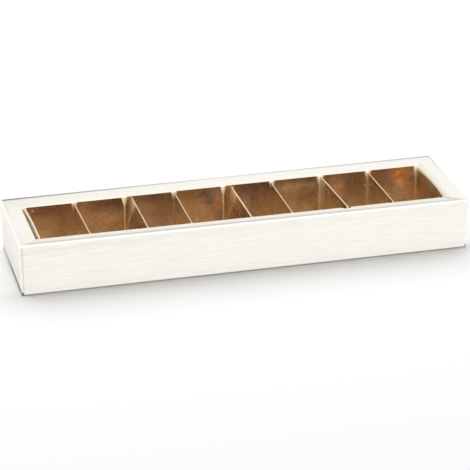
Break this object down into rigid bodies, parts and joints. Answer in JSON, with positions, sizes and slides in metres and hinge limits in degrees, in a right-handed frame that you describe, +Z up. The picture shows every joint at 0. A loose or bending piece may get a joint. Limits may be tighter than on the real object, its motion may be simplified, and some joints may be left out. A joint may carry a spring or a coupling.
{
  "type": "oblong box",
  "caption": "Long shallow presentation carton of white board with a mitred sloping frame round an open window, holding a folded gold card insert that parts it into small cells.",
  "frame": {"origin": "middle of the carton's underside, on the surface it stands on", "axes": "+X along the carton's length, +Y towards its back, +Z up"},
  "size_m": [0.27, 0.072, 0.0305],
  "materials": {
    "white_board": "white board with a fine silk-line emboss, satin",
    "gold_card": "card laminated with bright gold film, glossy"
  },
  "bodies": {
    "carton": {"carton_floor": "white_board", "front_wall": "white_board", "back_wall": "white_board", "left_end_wall": "white_board", "right_end_wall": "white_board", "front_ledge": "white_board", "back_ledge": "white_board", "left_ledge": "white_board", "right_ledge": "white_board", "front_inner_wall": "white_board", "back_inner_wall": "white_board", "left_inner_wall": "white_board", "right_inner_wall": "white_board"},
    "insert": {"cell_floor_1": "gold_card", "cell_floor_2": "gold_card", "cell_floor_3": "gold_card", "cell_floor_4": "gold_card", "cell_floor_5": "gold_card", "cell_floor_6": "gold_card", "cell_floor_7": "gold_card", "cell_floor_8": "gold_card", "back_flap_1": "gold_card", "back_flap_2": "gold_card", "back_flap_3": "gold_card", "back_flap_4": "gold_card", "back_flap_5": "gold_card", "back_flap_6": "gold_card", "back_flap_7": "gold_card", "back_flap_8": "gold_card", "front_flap_1": "gold_card", "front_flap_2": "gold_card", "front_flap_3": "gold_card", "front_flap_4": "gold_card", "front_flap_5": "gold_card", "front_flap_6": "gold_card", "front_flap_7": "gold_card", "front_flap_8": "gold_card"},
    "divider_1": {"divider_1": "gold_card"},
    "divider_2": {"divider_2": "gold_card"},
    "divider_3": {"divider_3": "gold_card"},
    "divider_4": {"divider_4": "gold_card"},
    "divider_5": {"divider_5": "gold_card"},
    "divider_6": {"divider_6": "gold_card"},
    "divider_7": {"divider_7": "gold_card"},
    "left_end_flap": {"left_end_flap": "gold_card"},
    "right_end_flap": {"right_end_flap": "gold_card"}
  },
  "joints": [
    {"name": "insert_lift", "type": "slide", "parent": "carton", "child": "insert", "axis": [0, 0, 1], "range_m": [0, 0.04]},
    {"name": "divider_1_lean", "type": "hinge", "parent": "insert", "child": "divider_1", "pos_m": [-0.09195, 0, 0.0013], "axis": [0, 1, 0], "range_deg": [-11.1, 12.9], "stiffness_Nm_per_rad": 0.005},
    {"name": "divider_2_lean", "type": "hinge", "parent": "insert", "child": "divider_2", "pos_m": [-0.0613, 0, 0.0013], "axis": [0, 1, 0], "range_deg": [-19.9, 4.1], "stiffness_Nm_per_rad": 0.005},
    {"name": "divider_3_lean", "type": "hinge", "parent": "insert", "child": "divider_3", "pos_m": [-0.03065, 0, 0.0013], "axis": [0, 1, 0], "range_deg": [-11.9, 12.1], "stiffness_Nm_per_rad": 0.005},
    {"name": "divider_4_lean", "type": "hinge", "parent": "insert", "child": "divider_4", "pos_m": [0, 0, 0.0013], "axis": [0, 1, 0], "range_deg": [-22.2, 1.8], "stiffness_Nm_per_rad": 0.005},
    {"name": "divider_5_lean", "type": "hinge", "parent": "insert", "child": "divider_5", "pos_m": [0.03065, 0, 0.0013], "axis": [0, 1, 0], "range_deg": [-10.4, 13.6], "stiffness_Nm_per_rad": 0.005},
    {"name": "divider_6_lean", "type": "hinge", "parent": "insert", "child": "divider_6", "pos_m": [0.0613, 0, 0.0013], "axis": [0, 1, 0], "range_deg": [-17.9, 6.1], "stiffness_Nm_per_rad": 0.005},
    {"name": "divider_7_lean", "type": "hinge", "parent": "insert", "child": "divider_7", "pos_m": [0.09195, 0, 0.0013], "axis": [0, 1, 0], "range_deg": [-13.8, 10.2], "stiffness_Nm_per_rad": 0.005},
    {"name": "left_end_flap_lean", "type": "hinge", "parent": "insert", "child": "left_end_flap", "pos_m": [-0.1228, 0, 0.0013], "axis": [0, 1, 0], "range_deg": [-2, 10], "stiffness_Nm_per_rad": 0.005},
    {"name": "right_end_flap_lean", "type": "hinge", "parent": "insert", "child": "right_end_flap", "pos_m": [0.1228, 0, 0.0013], "axis": [0, 1, 0], "range_deg": [-12, 0], "stiffness_Nm_per_rad": 0.005}
  ]
}
